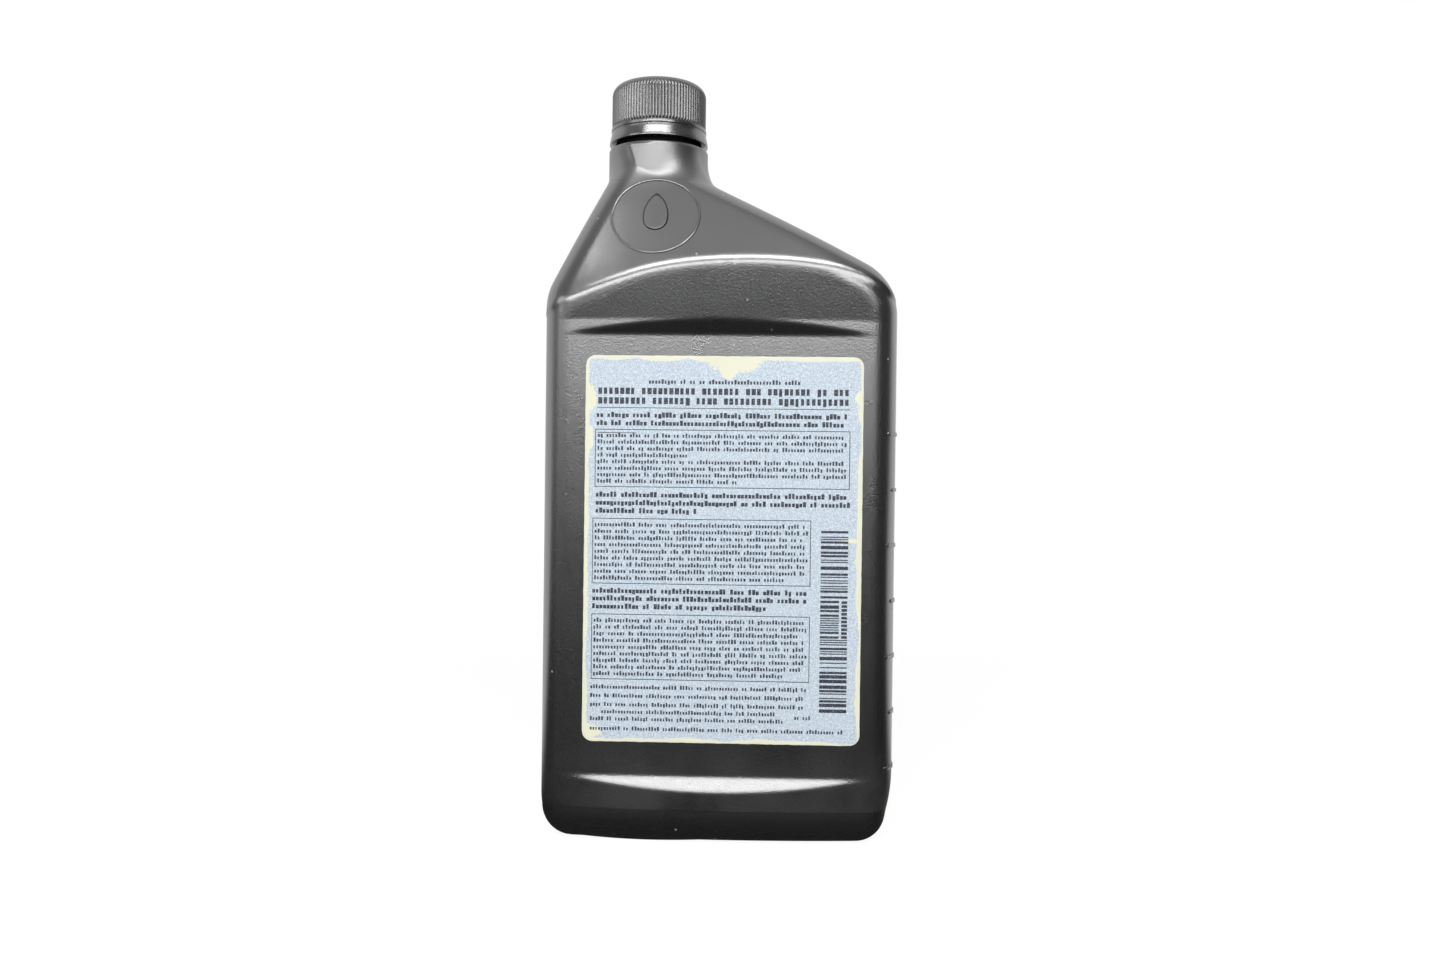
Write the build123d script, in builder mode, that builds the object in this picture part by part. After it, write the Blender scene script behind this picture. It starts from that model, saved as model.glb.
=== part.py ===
from build123d import *
import os

# Upright one-quart oil bottle in millimetres: base on Z = 0, label facing -Y, neck offset to -X.

# body, front view
WIDTH = 107.0
HALF = WIDTH / 2
LEFT_EAVE_Z = 165.5
RIGHT_EAVE_Z = 170.0
LEFT_SLOPE = 0.474
RIGHT_SLOPE = 1.863
PEAK_Z = 205.5
EAVE_R = 18.0
LEFT_FOOT_R = 11.0
RIGHT_FOOT_R = 13.5

# body, side view
CROWN_DEPTH = 30.2
FACE_R = 432.0
EDGE_R = 9.5
WALL = 1.2

# how far a cutting shape runs past what it cuts
SLAB_SPARE = 1.0
CUT_SPARE = 10.0

# shoulder faces, ruled from a wide arc low down to a straight line at the peak
RULE_LOW_Z = 150.0
RULE_LOW_DEPTH = 43.5
RULE_LOW_R = 102.0
RULE_HIGH_DEPTH = 13.5
RULE_LEAN = 1.12
ARCH_R = 8.0

# recessed flat panels, front and back
PANEL_DEPTH = 28.0
PANEL_LOW_Z = 20.5
PANEL_HIGH_Z = 152.8
RAMP_RUN = 1.8
PANEL_BEND_R = 3.0

# push-up under the base
PUSH_UP = 3.0
PUSH_LENGTH = 75.0
PUSH_WIDTH = 32.0
PUSH_CORNER_R = 9.0
PUSH_TAPER = 35.0

# neck
NECK_X = -21.4
NECK_R = 15.8
NECK_TOP_Z = 214.0
NECK_LOW_Z = 190.0
NECK_FOOT_R = 6.0
NECK_LIP_R = 0.7
THROAT_R = 14.2
THROAT_TOP_Z = 209.7
BORE_R = 10.8
BORE_LOW_Z = 213.2

# screw finish above the neck
LAND_R = 13.6
LAND_TOP_Z = 215.7
WAIST_R = 12.9
BEAD_R = 13.75
BEAD_LOW_Z = 217.3
BEAD_HIGH_Z = 218.6
BEAD_BEVEL = 0.45
FINISH_R = 12.5
FINISH_TOP_Z = 232.1
FINISH_BEVEL = 0.6

# thread, six turns to the inch; the ridge in the cap hangs under the one on the neck
PITCH = 25.4 / 6
THREAD_FOOT = 2.5
THREAD_CREST = 1.1
THREAD_ROOTED = 0.3
NECK_THREAD_RISE = 1.2
NECK_THREAD_TURNS = 1.5
NECK_THREAD_Z = 222.3
CAP_THREAD_RISE = 1.1
CAP_THREAD_TURNS = 1.25
CAP_THREAD_SKIP = 0.25
THREAD_APART = 1.8

# cap
CAP_R = 15.0
CAP_LOW_Z = 219.7
CAP_TOP_Z = 234.7
CAP_BORE_R = 13.9
CAP_ROOF = 1.6
CAP_DOME_R = 3.6
RIB_COUNT = 90
RIB_DEPTH = 0.35
RIB_TIP = 0.45
RIB_ROOT = 0.65
FLANGE_R = 15.2
FLANGE_TOP_Z = 220.8

# sealing disc
LINER_R = 13.6
LINER_THICK = 1.0

# tamper band
BAND_TOP_Z = 219.4
BAND_TOP_R = 15.15
BAND_LIP_R = 15.5
BAND_LIP_LOW_Z = 216.7
BAND_LIP_HIGH_Z = 217.3
BAND_BORE_R = 14.15
CATCH_R = 13.35
CATCH_FLAT_Z = 216.2
CATCH_TOP_Z = 217.0
STUB_COUNT = 8
STUB_LENGTH = 1.4
STUB_WIDTH = 0.6
STUB_HEIGHT = 0.18

# raised ring and drop on the shoulder, and graduations on the right corner
RAISED = 0.35
EMBLEM_R = 13.8
EMBLEM_X = -20.1
EMBLEM_Z = 189.0
EMBLEM_LINE = 0.8
EMBLEM_REACH = 5.0
DROP_R = 3.6
DROP_TIP = 8.6
DROP_FROM = 150
DROP_TURN = 240
MARK_LOW_Z = 23.4
MARK_STEP = 16.7
MARK_COUNT = 7
MARK_HEIGHT = 1.2
MARK_FROM_Y = -25.8
MARK_TO_Y = -14.0
MARK_IN = 6.0

# label on the front panel
LABEL_X = 1.5
LABEL_LOW_Z = 30.7
LABEL_W = 82.8
LABEL_H = 115.4
LABEL_R = 3.0
LABEL_THICK = 0.12


def near(shapes, x, y):
    """The vertex of a flat outline that lies nearest to a place on its plane."""
    return shapes.sort_by_distance((x, y, 0))[0]


def slope_left(z):
    """Where the left slope of the front view is at a height."""
    return -HALF + LEFT_SLOPE * (z - LEFT_EAVE_Z)


def slope_right(z):
    """Where the right slope of the front view is at a height."""
    return HALF - RIGHT_SLOPE * (z - RIGHT_EAVE_Z)


def arc_depth(depth, radius, x):
    """Depth of a shallow arc away from its middle, given its depth there and its radius."""
    return depth - (radius - (radius**2 - x**2) ** 0.5)


def shoulder_depth(x, z):
    """Depth of the ruled shoulder face."""
    share = (PEAK_Z - z) / (PEAK_Z - RULE_LOW_Z)
    low = arc_depth(RULE_LOW_DEPTH, RULE_LOW_R, x)
    return RULE_HIGH_DEPTH + share * (low - RULE_HIGH_DEPTH)


def arc_slab(depth, radius, reach):
    """Plan of a slab between two shallow arcs that bulge apart."""
    end = arc_depth(depth, radius, reach)
    with BuildSketch(mode=Mode.PRIVATE) as plan:
        with BuildLine():
            ThreePointArc((-reach, -end), (0, -depth), (reach, -end))
            Line((reach, -end), (reach, end))
            ThreePointArc((reach, end), (0, depth), (-reach, end))
            Line((-reach, end), (-reach, -end))
        make_face()
    return plan.sketch


def crowned_slab(inset):
    """The space between the front and the back surface, with each of them moved in."""
    reach = HALF + SLAB_SPARE
    crown = CROWN_DEPTH - inset
    lean = RULE_LEAN * inset
    with BuildPart(mode=Mode.PRIVATE) as slab:
        with BuildSketch(Plane.XY.offset(RULE_LOW_Z)):
            add(arc_slab(RULE_LOW_DEPTH - lean, RULE_LOW_R, reach))
        with BuildSketch(Plane.XY.offset(PEAK_Z)):
            Rectangle(2 * reach, 2 * (RULE_HIGH_DEPTH - lean))
        loft(ruled=True)
        with BuildSketch(Plane.XY.offset(RULE_LOW_Z)):
            add(arc_slab(crown, FACE_R, reach))
        extrude(amount=PEAK_Z - RULE_LOW_Z, mode=Mode.INTERSECT)
        with BuildSketch():
            add(arc_slab(crown, FACE_R, reach))
        extrude(amount=RULE_LOW_Z)
        arches = slab.edges().filter_by(GeomType.BSPLINE).filter_by(lambda e: abs(e.center().X) < SLAB_SPARE)
        fillet(arches, ARCH_R - inset)
    return slab.part


def front_outline(inset):
    """Front view of the body up to the peak inside the neck, moved in all round."""
    with BuildSketch(mode=Mode.PRIVATE) as front:
        with BuildLine():
            Polyline(
                (-HALF, 0),
                (HALF, 0),
                (HALF, RIGHT_EAVE_Z),
                (slope_right(PEAK_Z), PEAK_Z),
                (slope_left(PEAK_Z), PEAK_Z),
                (-HALF, LEFT_EAVE_Z),
                close=True,
            )
        make_face()
        fillet(near(front.vertices(), -HALF, 0), LEFT_FOOT_R)
        fillet(near(front.vertices(), HALF, 0), RIGHT_FOOT_R)
        fillet(near(front.vertices(), HALF, RIGHT_EAVE_Z), EAVE_R)
        fillet(near(front.vertices(), -HALF, LEFT_EAVE_Z), EAVE_R)
        if inset:
            offset(amount=-inset)
    return front.sketch


def body_form(inset):
    """The body as a plain solid with all its long edges rounded, every wall moved in."""
    with BuildPart(mode=Mode.PRIVATE) as form:
        add(crowned_slab(inset))
        with BuildSketch(Plane.XZ):
            add(front_outline(inset))
        extrude(amount=CROWN_DEPTH + CUT_SPARE, both=True, mode=Mode.INTERSECT)
        walls = form.faces().filter_by(lambda f: abs(f.normal_at().Y) < 1e-3)
        fillet(walls.edges().filter_by(Axis.Y, reverse=True), EDGE_R - inset)
    return form.part


def panel_cut(inset):
    """Side view of what is taken away in front of and behind the two flat panels."""
    face = PANEL_DEPTH - inset
    out = face + CUT_SPARE
    spread = CUT_SPARE * RAMP_RUN
    with BuildSketch(mode=Mode.PRIVATE) as side:
        with BuildLine():
            Polyline(
                (-face, PANEL_LOW_Z),
                (-face, PANEL_HIGH_Z),
                (-out, PANEL_HIGH_Z + spread),
                (-out, PANEL_LOW_Z - spread),
                close=True,
            )
        make_face()
        fillet(near(side.vertices(), -face, PANEL_LOW_Z), PANEL_BEND_R)
        fillet(near(side.vertices(), -face, PANEL_HIGH_Z), PANEL_BEND_R)
        mirror(about=Plane.YZ)
    return side.sketch


def push_up(grow):
    """The hollow pushed up under the base, or the same made larger all round."""
    with BuildPart(mode=Mode.PRIVATE) as hollow:
        with BuildSketch():
            RectangleRounded(PUSH_LENGTH + 2 * grow, PUSH_WIDTH + 2 * grow, PUSH_CORNER_R + grow)
        extrude(amount=PUSH_UP + grow, taper=PUSH_TAPER)
    return hollow.part


def thread_ridge(wall_r, rise, turns, start_z, start_angle):
    """A right-handed ridge of trapezoid section wound on the neck axis; rise < 0 points inwards."""
    rooted = THREAD_ROOTED if rise > 0 else -THREAD_ROOTED
    with BuildPart(mode=Mode.PRIVATE) as ridge:
        with BuildLine():
            Helix(PITCH, PITCH * turns, wall_r)
        with BuildSketch(Plane.XZ):
            with BuildLine():
                Polyline(
                    (wall_r - rooted, -THREAD_FOOT / 2),
                    (wall_r + rise, -THREAD_CREST / 2),
                    (wall_r + rise, THREAD_CREST / 2),
                    (wall_r - rooted, THREAD_FOOT / 2),
                    close=True,
                )
            make_face()
        sweep(is_frenet=True)
    return ridge.part.moved(Location((NECK_X, 0, start_z), (0, 0, start_angle)))


def emblem_plane():
    """Plane that touches the shoulder at the middle of the emblem."""
    run = shoulder_depth(EMBLEM_X, RULE_LOW_Z) - RULE_HIGH_DEPTH
    rise = PEAK_Z - RULE_LOW_Z
    depth = shoulder_depth(EMBLEM_X, EMBLEM_Z)
    return Plane(origin=(EMBLEM_X, -depth, EMBLEM_Z), x_dir=(1, 0, 0), z_dir=(0, -rise, run))


outer_form = body_form(0)
grown_form = body_form(-RAISED)
inner_form = body_form(WALL)
neck_thread = thread_ridge(FINISH_R, NECK_THREAD_RISE, NECK_THREAD_TURNS, NECK_THREAD_Z, 0)
cap_thread_z = NECK_THREAD_Z - THREAD_APART + PITCH * CAP_THREAD_SKIP
cap_thread = thread_ridge(CAP_BORE_R, -CAP_THREAD_RISE, CAP_THREAD_TURNS, cap_thread_z, 360 * CAP_THREAD_SKIP)

# hollow of the bottle, with the bore
with BuildPart() as cavity:
    add(inner_form)
    with BuildSketch(Plane.YZ):
        add(panel_cut(WALL))
    extrude(amount=HALF, both=True, mode=Mode.SUBTRACT)
    add(push_up(WALL), mode=Mode.SUBTRACT)
    with BuildSketch(Plane.XZ):
        with BuildLine():
            Polyline(
                (NECK_X, NECK_LOW_Z),
                (NECK_X + THROAT_R, NECK_LOW_Z),
                (NECK_X + THROAT_R, THROAT_TOP_Z),
                (NECK_X + BORE_R, BORE_LOW_Z),
                (NECK_X + BORE_R, FINISH_TOP_Z),
                (NECK_X, FINISH_TOP_Z),
                close=True,
            )
        make_face()
    revolve(axis=Axis((NECK_X, 0, 0), (0, 0, 1)))

# emblem on the shoulder: a ring round a plain drop
with BuildPart() as emblem:
    add(grown_form)
    with BuildSketch(emblem_plane()):
        Circle(EMBLEM_R)
        Circle(EMBLEM_R - EMBLEM_LINE, mode=Mode.SUBTRACT)
        with BuildLine():
            low = CenterArc((0, -DROP_R / 2), DROP_R, DROP_FROM, DROP_TURN)
            Line(low @ 1, (0, DROP_TIP))
            Line((0, DROP_TIP), low @ 0)
        make_face()
    extrude(amount=EMBLEM_REACH, both=True, mode=Mode.INTERSECT)

# graduations round the right front corner
with BuildPart() as marks:
    add(grown_form)
    with BuildSketch(Plane.YZ.offset(HALF - MARK_IN)):
        for step in range(MARK_COUNT):
            with Locations(((MARK_FROM_Y + MARK_TO_Y) / 2, MARK_LOW_Z + MARK_STEP * step)):
                Rectangle(MARK_TO_Y - MARK_FROM_Y, MARK_HEIGHT)
    extrude(amount=2 * MARK_IN, mode=Mode.INTERSECT)

with BuildPart() as bottle:
    add(outer_form)
    with Locations(Location((NECK_X, 0, NECK_LOW_Z), (0, 0, 180))):
        Cylinder(NECK_R, NECK_TOP_Z - NECK_LOW_Z, align=(Align.CENTER, Align.CENTER, Align.MIN))
    neck_walls = bottle.faces().filter_by(GeomType.CYLINDER)
    neck_walls = neck_walls.filter_by(lambda f: abs(f.bounding_box().max.Z - NECK_TOP_Z) < NECK_LIP_R)
    neck_foot = neck_walls.edges().filter_by(GeomType.LINE, reverse=True)
    fillet(neck_foot.filter_by(lambda e: e.center().Z < NECK_TOP_Z - NECK_LIP_R), NECK_FOOT_R)
    fillet(bottle.edges().group_by(Axis.Z)[-1], NECK_LIP_R)
    with BuildSketch(Plane.YZ):
        add(panel_cut(0))
    extrude(amount=HALF, both=True, mode=Mode.SUBTRACT)
    add(push_up(0), mode=Mode.SUBTRACT)
    add(emblem.part)
    add(marks.part)
    with BuildSketch(Plane.XZ):
        with BuildLine():
            Polyline(
                (NECK_X, NECK_LOW_Z),
                (NECK_X + LAND_R, NECK_LOW_Z),
                (NECK_X + LAND_R, LAND_TOP_Z),
                (NECK_X + WAIST_R, LAND_TOP_Z),
                (NECK_X + WAIST_R, BEAD_LOW_Z),
                (NECK_X + BEAD_R, BEAD_LOW_Z + BEAD_BEVEL),
                (NECK_X + BEAD_R, BEAD_HIGH_Z - BEAD_BEVEL),
                (NECK_X + FINISH_R, BEAD_HIGH_Z),
                (NECK_X + FINISH_R, FINISH_TOP_Z - FINISH_BEVEL),
                (NECK_X + FINISH_R - FINISH_BEVEL, FINISH_TOP_Z),
                (NECK_X, FINISH_TOP_Z),
                close=True,
            )
        make_face()
    revolve(axis=Axis((NECK_X, 0, 0), (0, 0, 1)))
    add(neck_thread)
    add(cavity.part, mode=Mode.SUBTRACT)

with BuildPart() as cap:
    with BuildSketch(Plane.XY.offset(CAP_LOW_Z)):
        with Locations((NECK_X, 0)):
            Circle(CAP_R - RIB_DEPTH)
            with PolarLocations(CAP_R - RIB_DEPTH, RIB_COUNT):
                Polygon(
                    (-RIB_DEPTH, -RIB_ROOT / 2),
                    (RIB_DEPTH, -RIB_TIP / 2),
                    (RIB_DEPTH, RIB_TIP / 2),
                    (-RIB_DEPTH, RIB_ROOT / 2),
                    align=None,
                )
    extrude(amount=CAP_TOP_Z - CAP_LOW_Z)
    with BuildSketch(Plane.XZ) as dome:
        with BuildLine():
            Polyline(
                (NECK_X, CAP_LOW_Z),
                (NECK_X + CAP_R, CAP_LOW_Z),
                (NECK_X + CAP_R, CAP_TOP_Z),
                (NECK_X, CAP_TOP_Z),
                close=True,
            )
        make_face()
        fillet(near(dome.vertices(), NECK_X + CAP_R, CAP_TOP_Z), CAP_DOME_R)
    revolve(axis=Axis((NECK_X, 0, 0), (0, 0, 1)), mode=Mode.INTERSECT)
    with BuildSketch(Plane.XY.offset(CAP_LOW_Z)):
        with Locations((NECK_X, 0)):
            Circle(FLANGE_R)
    extrude(amount=FLANGE_TOP_Z - CAP_LOW_Z)
    with BuildSketch(Plane.XY.offset(CAP_LOW_Z)):
        with Locations((NECK_X, 0)):
            Circle(CAP_BORE_R)
    extrude(amount=CAP_TOP_Z - CAP_ROOF - CAP_LOW_Z, mode=Mode.SUBTRACT)
    add(cap_thread)

with BuildPart() as cap_liner:
    with BuildSketch(Plane.XY.offset(FINISH_TOP_Z)):
        with Locations((NECK_X, 0)):
            Circle(LINER_R)
    extrude(amount=LINER_THICK)

with BuildPart() as tamper_band:
    with BuildSketch(Plane.XZ):
        with BuildLine():
            Polyline(
                (NECK_X + CATCH_R, LAND_TOP_Z),
                (NECK_X + BAND_LIP_R, LAND_TOP_Z),
                (NECK_X + BAND_LIP_R, BAND_LIP_LOW_Z),
                (NECK_X + BAND_TOP_R, BAND_LIP_HIGH_Z),
                (NECK_X + BAND_TOP_R, BAND_TOP_Z),
                (NECK_X + BAND_BORE_R, BAND_TOP_Z),
                (NECK_X + BAND_BORE_R, CATCH_TOP_Z),
                (NECK_X + CATCH_R, CATCH_FLAT_Z),
                close=True,
            )
        make_face()
    revolve(axis=Axis((NECK_X, 0, 0), (0, 0, 1)))
    with BuildSketch(Plane.XY.offset(BAND_TOP_Z)):
        with Locations((NECK_X, 0)):
            with PolarLocations((BAND_TOP_R + BAND_BORE_R) / 2, STUB_COUNT):
                Rectangle(STUB_WIDTH, STUB_LENGTH)
    extrude(amount=STUB_HEIGHT)

with BuildPart() as label:
    with BuildSketch(Plane.XZ.offset(PANEL_DEPTH)):
        with Locations((LABEL_X, LABEL_LOW_Z + LABEL_H / 2)):
            RectangleRounded(LABEL_W, LABEL_H, LABEL_R)
    extrude(amount=LABEL_THICK)

bottle.part.label = "bottle"
cap.part.label = "cap"
cap_liner.part.label = "cap_liner"
tamper_band.part.label = "tamper_band"
label.part.label = "label"

os.makedirs("parts", exist_ok=True)
export_step(bottle.part, "parts/bottle.step")
export_step(cap.part, "parts/cap.step")
export_step(cap_liner.part, "parts/cap_liner.step")
export_step(tamper_band.part, "parts/tamper_band.step")
export_step(label.part, "parts/label.step")
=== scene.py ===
import math

import bpy
import numpy as np
from bpy.props import FloatProperty, FloatVectorProperty, IntProperty, PointerProperty
from mathutils import Matrix, Vector


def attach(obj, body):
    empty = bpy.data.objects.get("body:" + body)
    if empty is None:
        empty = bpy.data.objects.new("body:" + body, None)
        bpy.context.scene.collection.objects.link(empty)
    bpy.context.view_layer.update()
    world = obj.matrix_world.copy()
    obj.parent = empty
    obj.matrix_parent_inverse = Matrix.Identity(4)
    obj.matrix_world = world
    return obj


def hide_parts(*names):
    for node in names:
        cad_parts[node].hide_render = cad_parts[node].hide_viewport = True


bl_info = {
    "name": "Oil bottle",
    "version": (1, 0, 0),
    "blender": (4, 5, 0),
    "location": "3D View > Sidebar > Bottle",
    "description": "Dresses an upright oil bottle with an offset neck, screw cap and worn film label",
    "category": "Add Mesh",
}

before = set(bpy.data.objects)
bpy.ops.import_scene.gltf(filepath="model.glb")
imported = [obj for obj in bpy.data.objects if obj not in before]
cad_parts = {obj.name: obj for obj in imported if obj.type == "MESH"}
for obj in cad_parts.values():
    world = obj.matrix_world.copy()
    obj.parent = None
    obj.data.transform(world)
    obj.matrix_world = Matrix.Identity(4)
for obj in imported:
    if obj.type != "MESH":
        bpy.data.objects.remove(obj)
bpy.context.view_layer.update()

TURN = 2 * np.pi
FAR = 1e9
TINY = 1e-12

COLUMNS = 256  # Points in each ring of the bottle
SPINE_RISE = 0.05  # Height over which the rays that find its skin lean over to the neck
FAN_DEPTH = 0.03  # Half depth of the oblong at which they aim, lower down
RAMP_COSINE = 0.92  # Of the angle between a panel's ramp and the face
SEAM_HEIGHT = 0.0003  # Height over which the base seam's step comes in
THREAD_END = 1 / 12  # Turn over which a thread fades out
REACH = 0.09  # Longer than any ray inside the bottle
SMALL_STEP = 2e-5  # Half of the gap over which a normal is measured
FILM_ROOT = 0.00004  # Depth of the film's back inside the panel
INK_HEIGHT, INK_ROOT = 0.000022, 0.00002  # Ink above and below the film's face
CROWN_LEAN = -0.125  # Lean of the shading normal over the label panel

# Where the view stripe and the haze over the foot fade in: the axis, the place of nought and the place of one
STRIPE = ((0, 0.040, 0.046), (1, -0.0252, -0.0150), (1, -0.0072, -0.0088), (2, 0.004, 0.012), (2, 0.172, 0.164))
HAZE = ((2, 0.0105, 0.0111), (2, 0.034, 0.016))

# Patches worn off the film: middle from its upper left corner, to the right and down, half width and half height
WORN_PATCHES = (
    (0.0460, 0.0005, 0.0078, 0.0044),
    (0.0428, 0.0030, 0.0026, 0.0038),
    (0.0005, 0.0128, 0.0028, 0.0045),
    (0.0005, 0.0245, 0.0020, 0.0040),
    (0.0825, 0.0120, 0.0024, 0.0026),
    (0.0818, 0.0545, 0.0052, 0.0006),
    (0.0240, 0.0002, 0.0090, 0.0016),
    (0.0660, 0.0002, 0.0050, 0.0014),
    (0.0020, 0.1124, 0.0040, 0.0020),
)


def length(name, text, value):
    """A size in metres."""
    return FloatProperty(name=name, description=text, default=value, unit="LENGTH", precision=5)


def amount(name, text, value):
    """A plain number."""
    return FloatProperty(name=name, description=text, default=value, precision=4)


def share(name, text, value):
    """A number from nought to one."""
    return FloatProperty(name=name, description=text, default=value, min=0, max=1, subtype="FACTOR")


def colour(name, text, value):
    """A linear colour."""
    return FloatVectorProperty(
        name=name, description=text, default=value, size=3, min=0, max=1, subtype="COLOR"
    )


def angle(name, text, degrees):
    """A turn, given in degrees and kept in radians."""
    return FloatProperty(name=name, description=text, default=math.radians(degrees), unit="ROTATION")


class BottleBodySizes(bpy.types.PropertyGroup):
    """Sizes of the blown body."""

    half: length("Half width", "Middle to one side wall", 0.0535)
    left_eave_z: length("Left eave", "Height where the left slope starts", 0.1655)
    right_eave_z: length("Right eave", "Height where the right slope starts", 0.170)
    left_slope: amount("Left slope", "Sideways run of the left slope for each unit of height", 0.474)
    right_slope: amount("Right slope", "Sideways run of the right slope for each unit of height", 1.863)
    peak_z: length("Peak", "Height of the straight line that the shoulder faces rise to", 0.2055)
    eave_r: length("Eave radius", "Rounding of both eaves in front view", 0.018)
    left_foot_r: length("Left foot radius", "Rounding of the left foot in front view", 0.0098)
    right_foot_r: length("Right foot radius", "Rounding of the right foot in front view", 0.0092)
    left_lean_z: length("Left lean", "Height where the left wall starts to lean in", 0.013)
    left_lean: amount("Left lean slope", "Run of the left wall's leaning foot for each unit of height", 0.07)
    right_lean_z: length("Right lean", "Height where the right wall starts to lean in", 0.0175)
    right_lean: amount("Right lean slope", "Run of the right wall's leaning foot for each unit of height", 0.20)
    lean_r: length("Lean radius", "Rounding where the walls start to lean", 0.05)
    crown: length("Crown depth", "Middle plane to the front face at its middle", 0.0302)
    face_r: length("Face radius", "Radius of the bowed front and back faces", 0.432)
    edge_r: length("Edge radius", "Rounding between faces and side walls", 0.0095)
    wall: length("Wall", "Thickness of the moulding", 0.0012)
    rule_low_z: length("Shoulder foot", "Height of the lower arc of the ruled shoulder", 0.150)
    rule_low_depth: length("Shoulder foot depth", "Depth of that arc at its middle", 0.04235)
    rule_low_r: length("Shoulder foot radius", "Radius of that arc", 0.106)
    rule_x: length("Shoulder place", "Sideways place of that arc's middle", 0.005)
    rule_left: length("Shoulder reach left", "Where that arc runs straight on at the left", 0.0310)
    rule_right: length("Shoulder reach right", "Where that arc runs straight on at the right", 0.0400)
    rule_high_depth: length("Shoulder top depth", "Depth of the straight line at the peak", 0.0155)
    arch_r: length("Arch radius", "Rounding between face and shoulder", 0.008)
    panel: length("Panel depth", "Middle plane to the flat label panel", 0.028)
    panel_low: length("Panel low", "Height where the label panel starts", 0.0205)
    panel_high: length("Panel high", "Height where the label panel ends", 0.1528)
    ramp: amount("Ramp", "Height of a ramp for each unit of depth", 1.8)
    ramp_r: length("Ramp edge radius", "Rounding where a ramp runs out", 0.005)
    panel_r: length("Panel edge radius", "Hollow rounding where a ramp starts", 0.003)
    seam_z: length("Base seam", "Height of the mould line above the foot", 0.0108)
    seam_in: length("Base step", "Step of the skin at that line", 0.00006)
    push_up: length("Push-up", "Height of the hollow under the base", 0.003)
    push_half_x: length("Push-up half length", "Half of its length", 0.0375)
    push_half_y: length("Push-up half width", "Half of its width", 0.016)
    push_r: length("Push-up corner", "Corner radius of the push-up", 0.009)


class BottleNeckSizes(bpy.types.PropertyGroup):
    """Sizes of the neck and its screw finish."""

    x: length("Neck place", "Sideways place of the neck axis", -0.0214)
    r: length("Neck radius", "Outside of the neck", 0.0158)
    top: length("Neck top", "Height of the shelf on the neck", 0.2140)
    foot_r: length("Neck foot radius", "Hollow rounding where the neck meets the shoulder", 0.015)
    lip_r: length("Shelf edge radius", "Rounding of the shelf's edge", 0.0008)
    land_r: length("Land radius", "Short wall above the shelf", 0.0136)
    land_top: length("Land top", "Height where that wall ends", 0.2157)
    waist_r: length("Waist radius", "Groove under the bead", 0.0129)
    bead_r: length("Bead radius", "Bead that holds the tamper band", 0.01375)
    bead_low: length("Bead low", "Underside of the bead", 0.2173)
    bead_high: length("Bead high", "Top of the bead", 0.2186)
    finish_r: length("Finish radius", "Wall that carries the thread", 0.0125)
    finish_top: length("Finish top", "Height of the mouth", 0.2321)
    bore_r: length("Bore radius", "Inside of the mouth", 0.0108)
    bore_low: length("Bore low", "Height where the bore opens out", 0.2132)
    throat_r: length("Throat radius", "Inside of the neck", 0.0142)
    throat_top: length("Throat top", "Height where the throat starts to narrow", 0.2097)
    pitch: length("Pitch", "Rise of the thread for each turn", 0.0254 / 6)
    thread_foot: length("Thread foot", "Width of the thread at its foot", 0.0025)
    thread_crest: length("Thread crest", "Width of the thread at its crest", 0.0011)
    thread_rise: length("Thread rise", "Height of the neck's thread", 0.0012)
    thread_turns: amount("Thread turns", "Length of the neck's thread in turns", 1.5)
    thread_z: length("Thread start", "Height where the neck's thread starts", 0.2223)


class BottleCapSizes(bpy.types.PropertyGroup):
    """Sizes of the cap, its sealing disc and the tamper band."""

    r: length("Cap radius", "Outside of the ribs", 0.015)
    low: length("Cap low", "Underside of the cap", 0.2197)
    top: length("Cap top", "Top of the cap", 0.2347)
    bore_r: length("Cap bore radius", "Inside of the skirt", 0.0139)
    roof: length("Roof", "Thickness of the top", 0.0016)
    dome_r: length("Dome radius", "Rounding of the top's edge", 0.0036)
    ribs: IntProperty(name="Ribs", description="Number of grip ribs", default=90, min=3)
    rib_depth: length("Rib depth", "Height of a rib", 0.00035)
    flange_r: length("Flange radius", "Smooth ring under the ribs", 0.0152)
    flange_top: length("Flange top", "Height where the ribs start", 0.2208)
    thread_rise: length("Cap thread rise", "Height of the cap's thread", 0.0011)
    thread_turns: amount("Cap thread turns", "Length of the cap's thread in turns", 1.25)
    thread_skip: amount("Cap thread skip", "Turn at which the cap's thread starts", 0.25)
    thread_apart: length("Threads apart", "How far the cap's thread hangs below the neck's", 0.0018)
    liner_r: length("Disc radius", "Radius of the sealing disc", 0.0136)
    liner_thick: length("Disc thickness", "Thickness of the sealing disc", 0.001)
    band_low: length("Band low", "Underside of the tamper band", 0.2157)
    band_top: length("Band top", "Top of the tamper band", 0.21955)
    band_r: length("Band radius", "Outside of the band", 0.01515)
    band_lip_r: length("Band lip radius", "Outside of the band's lower lip", 0.0157)
    band_lip_low: length("Lip low", "Height where the lip starts to narrow", 0.2163)
    band_lip_high: length("Lip high", "Height where the lip ends", 0.2189)
    band_bore_r: length("Band bore radius", "Inside of the band", 0.01415)
    catch_r: length("Catch radius", "Inside of the catch under the bead", 0.01335)
    catch_flat: length("Catch flat", "Height where the catch starts to open out", 0.2162)
    catch_top: length("Catch top", "Height where the catch ends", 0.217)
    stubs: IntProperty(name="Stubs", description="Number of broken bridges", default=8, min=1)
    stub_rise: length("Stub rise", "Height of a broken bridge", 0.00018)


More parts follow.
